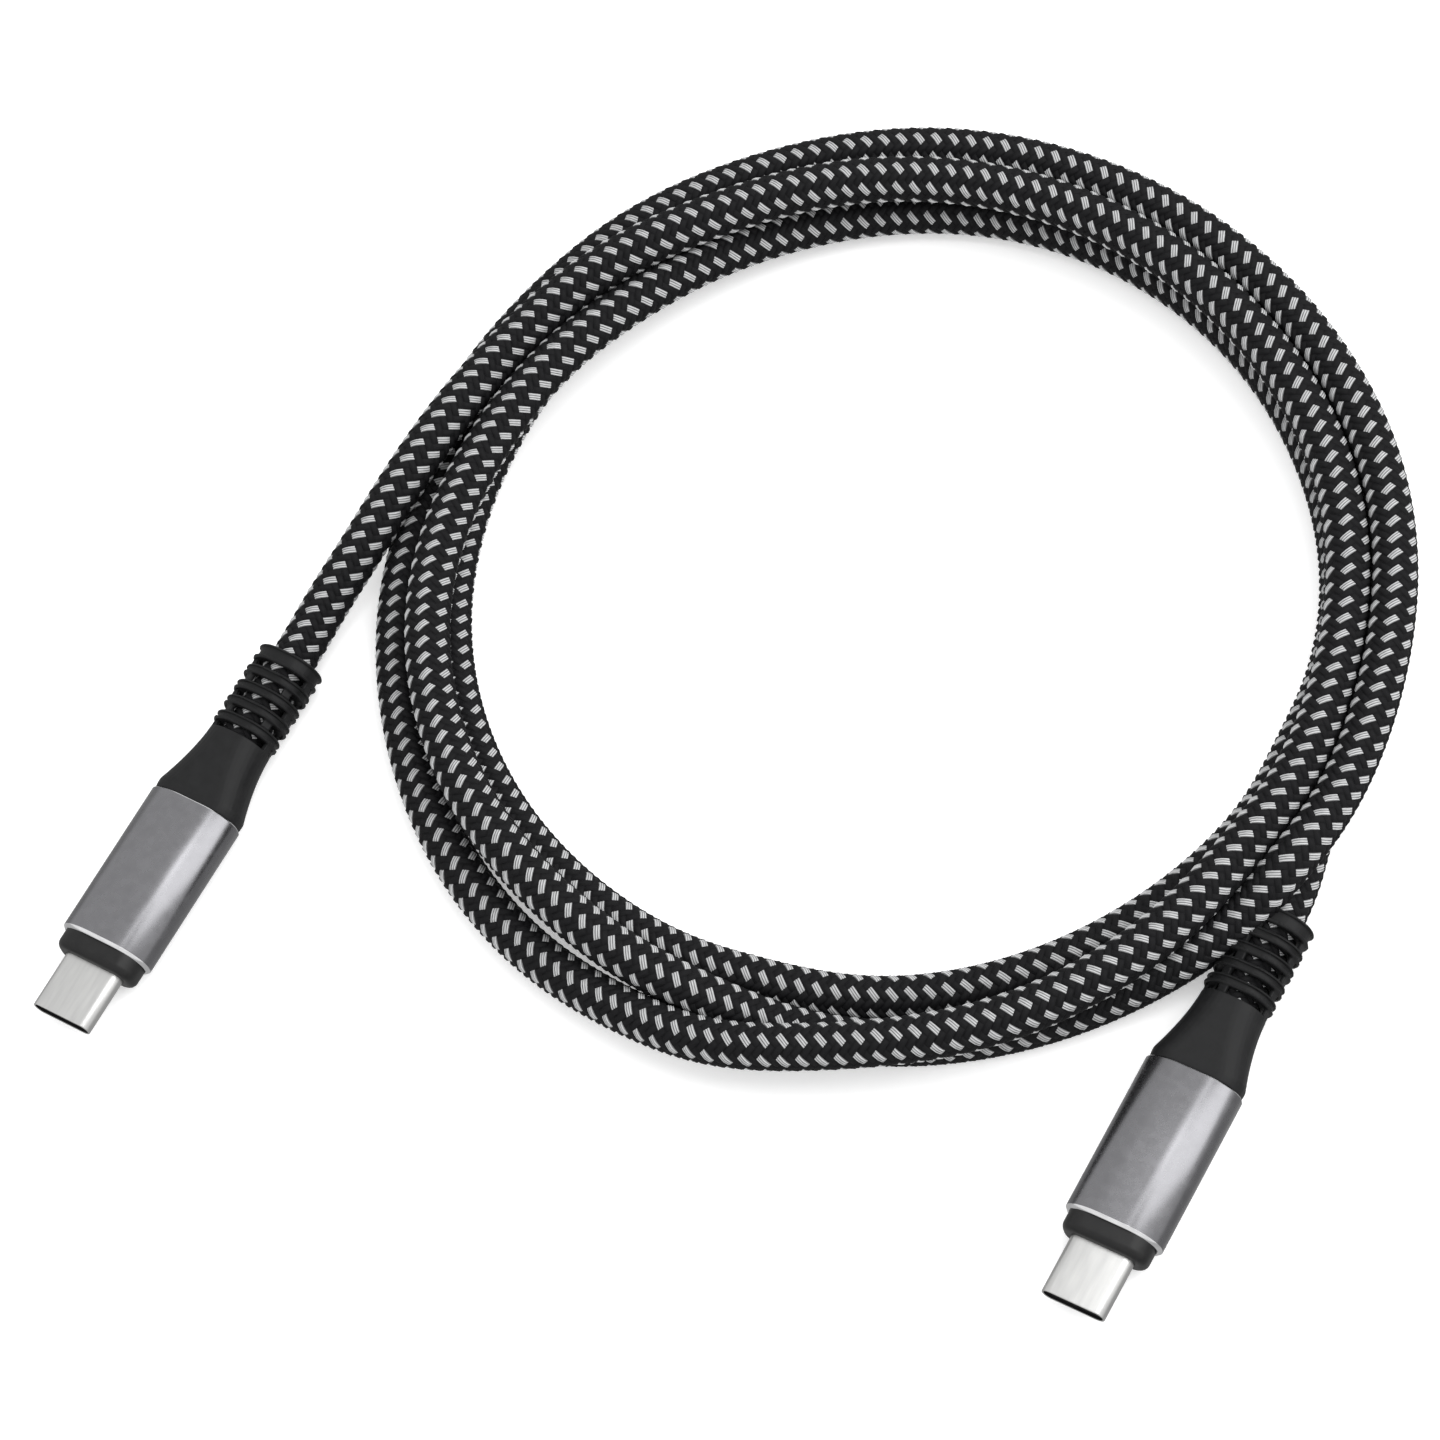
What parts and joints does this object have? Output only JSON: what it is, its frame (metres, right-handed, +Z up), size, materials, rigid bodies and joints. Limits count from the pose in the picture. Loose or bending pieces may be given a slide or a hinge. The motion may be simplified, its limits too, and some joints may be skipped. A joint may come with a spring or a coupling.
{
  "type": "charging cable",
  "caption": "Braided charging cable lying in a round coil, with a flat reversible plug in a grey metal sleeve and a ribbed strain relief at each end.",
  "frame": {"origin": "on the surface that the cable lies on, at the middle of the floor box around the two plug assemblies", "axes": "+Z up from that surface; +X from the left plug assembly towards the right one; +Y from the plugs towards the coil"},
  "size_m": [0.1711, 0.1628, 0.0145],
  "materials": {
    "nickel_plating": "light satin nickel plating",
    "grey_aluminium": "space-grey anodised, fine satin, bright cut front edge",
    "black_elastomer": "black moulded thermoplastic elastomer, matte",
    "black_plastic": "black moulded plastic, slight sheen",
    "moulded_insulator": "black glass-filled insulator",
    "gold_contacts": "gold flash over nickel",
    "spring_steel": "bright stainless spring strip",
    "circuit_board": "green solder mask",
    "chip_package": "black epoxy package",
    "copper_crimp": "bare drawn copper",
    "hot_melt": "milky low-pressure moulding",
    "braided_jacket": "near-black nylon braid with short light-grey yarn marks",
    "red_insulation": "extruded wire insulation",
    "black_insulation": "extruded wire insulation",
    "pair_foil": "foil wrap over a twisted pair"
  },
  "bodies": {
    "root": {"left_plug_shell": "nickel_plating", "left_contact_housing": "moulded_insulator", "left_upper_contacts": "gold_contacts", "left_lower_contacts": "gold_contacts", "left_latch_spring": "spring_steel", "left_upper_ground_spring": "spring_steel", "left_lower_ground_spring": "spring_steel", "left_paddle_card": "circuit_board", "left_marker_chip": "chip_package", "left_upper_shield": "spring_steel", "left_lower_shield": "spring_steel", "left_crimp_ferrule": "copper_crimp", "left_inner_moulding": "hot_melt", "left_front_collar": "black_plastic", "left_sleeve": "grey_aluminium", "left_strain_relief": "black_elastomer", "left_cable_end": "braided_jacket", "left_power_wire": "red_insulation", "left_ground_wire": "black_insulation", "left_usb2_pair": "pair_foil", "left_data_pair_1": "pair_foil", "left_data_pair_2": "pair_foil", "left_data_pair_3": "pair_foil", "left_data_pair_4": "pair_foil", "right_plug_shell": "nickel_plating", "right_contact_housing": "moulded_insulator", "right_upper_contacts": "gold_contacts", "right_lower_contacts": "gold_contacts", "right_latch_spring": "spring_steel", "right_upper_ground_spring": "spring_steel", "right_lower_ground_spring": "spring_steel", "right_paddle_card": "circuit_board", "right_marker_chip": "chip_package", "right_upper_shield": "spring_steel", "right_lower_shield": "spring_steel", "right_crimp_ferrule": "copper_crimp", "right_inner_moulding": "hot_melt", "right_front_collar": "black_plastic", "right_sleeve": "grey_aluminium", "right_strain_relief": "black_elastomer", "right_cable_end": "braided_jacket", "right_power_wire": "red_insulation", "right_ground_wire": "black_insulation", "right_usb2_pair": "pair_foil", "right_data_pair_1": "pair_foil", "right_data_pair_2": "pair_foil", "right_data_pair_3": "pair_foil", "right_data_pair_4": "pair_foil", "left_tail": "braided_jacket", "right_tail": "braided_jacket", "cable_coil": "braided_jacket"}
  },
  "joints": []
}
